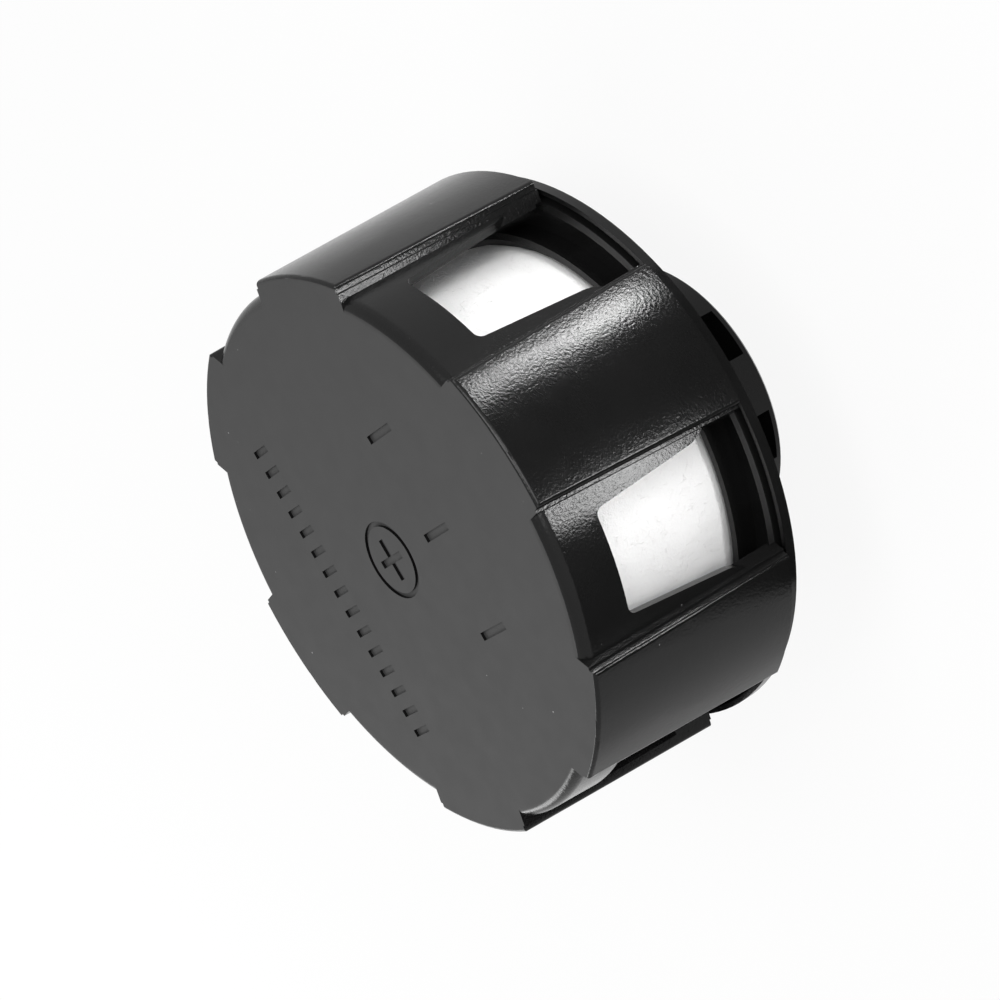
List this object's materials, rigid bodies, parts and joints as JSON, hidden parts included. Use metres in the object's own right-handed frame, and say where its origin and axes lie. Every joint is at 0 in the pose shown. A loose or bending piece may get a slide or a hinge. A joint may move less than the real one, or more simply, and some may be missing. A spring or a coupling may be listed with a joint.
{
  "type": "hydraulic filler breather",
  "caption": "Moulded filler breather cap with grip lobes and side windows over a white felt element, on a base with a slotted threaded spigot.",
  "frame": {"origin": "centre of the spigot's lower end, where the part stands", "axes": "+Z along the cap's axis towards its top face, +X through the middle of one grip lobe"},
  "size_m": [0.08, 0.0772, 0.05],
  "materials": {
    "cap": "satin black glass-filled nylon, matt top face",
    "base": "satin black glass-filled nylon",
    "felt": "white nonwoven polyester felt",
    "element": "plain moulded plastic",
    "foam": "closed-cell foam rubber",
    "seal": "nitrile rubber",
    "steel": "zinc-plated or stainless steel"
  },
  "bodies": {
    "root": {"cap_shell": "cap", "base_plate": "base", "filter_felt": "felt", "element_cage": "element", "element_bottom_ring": "element", "element_top_plate": "element", "foam_pad": "foam", "element_seal": "seal", "throat_screen": "steel", "splash_plate": "base", "tank_gasket": "seal", "screw_washer": "steel", "centre_screw": "steel"}
  },
  "joints": []
}
